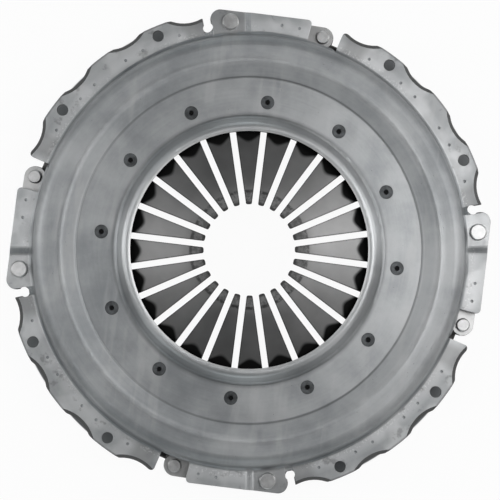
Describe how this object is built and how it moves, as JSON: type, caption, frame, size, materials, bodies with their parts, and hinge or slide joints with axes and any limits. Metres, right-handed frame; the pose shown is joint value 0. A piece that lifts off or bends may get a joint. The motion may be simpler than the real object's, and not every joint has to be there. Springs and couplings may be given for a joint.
{
  "type": "clutch pressure plate",
  "caption": "Diaphragm-spring clutch cover assembly for a heavy vehicle: pressed cover with a scalloped bolting flange, slotted finger spring, strap-hung cast pressure plate.",
  "frame": {"origin": "centre of the flange's mounting face (z = 0), on the axis of rotation", "axes": "+Z along the axis of rotation, from the flywheel towards the gearbox; +X and +Y each run through the middle of a strap pack"},
  "size_m": [0.454, 0.454, 0.0707],
  "materials": {
    "cover_steel": "pressed sheet steel, grey phosphate with a thin oil film",
    "spring_steel": "shot-peened, oil-black spring steel, rubbed bright at the finger tips",
    "ring_wire": "drawn wire",
    "dark_rivet": "black phosphated",
    "strap_rivet": "bare steel, formed head",
    "strap_steel": "cold-rolled spring strip",
    "plate_iron": "sand-cast grey iron, friction face turned and ground"
  },
  "bodies": {
    "cover": {"cover": "cover_steel", "diaphragm_spring": "spring_steel", "pivot_ring_upper": "ring_wire", "pivot_ring_lower": "ring_wire", "pivot_rivets": "dark_rivet", "strap_cover_rivets": "strap_rivet", "leaf_spring_1_top": "strap_steel", "leaf_spring_1_middle": "strap_steel", "leaf_spring_1_bottom": "strap_steel", "leaf_spring_2_top": "strap_steel", "leaf_spring_2_middle": "strap_steel", "leaf_spring_2_bottom": "strap_steel", "leaf_spring_3_top": "strap_steel", "leaf_spring_3_middle": "strap_steel", "leaf_spring_3_bottom": "strap_steel", "leaf_spring_4_top": "strap_steel", "leaf_spring_4_middle": "strap_steel", "leaf_spring_4_bottom": "strap_steel"},
    "pressure_plate": {"pressure_plate": "plate_iron", "strap_plate_rivets": "strap_rivet"}
  },
  "joints": [
    {"name": "plate_lift", "type": "slide", "parent": "cover", "child": "pressure_plate", "axis": [0, 0, 1], "range_m": [0, 0.0055], "stiffness_N_per_m": 250000, "springref_m": -0.001, "deforming": ["diaphragm_spring", "leaf_spring_1_top", "leaf_spring_1_middle", "leaf_spring_1_bottom", "leaf_spring_2_top", "leaf_spring_2_middle", "leaf_spring_2_bottom", "leaf_spring_3_top", "leaf_spring_3_middle", "leaf_spring_3_bottom", "leaf_spring_4_top", "leaf_spring_4_middle", "leaf_spring_4_bottom"]}
  ]
}
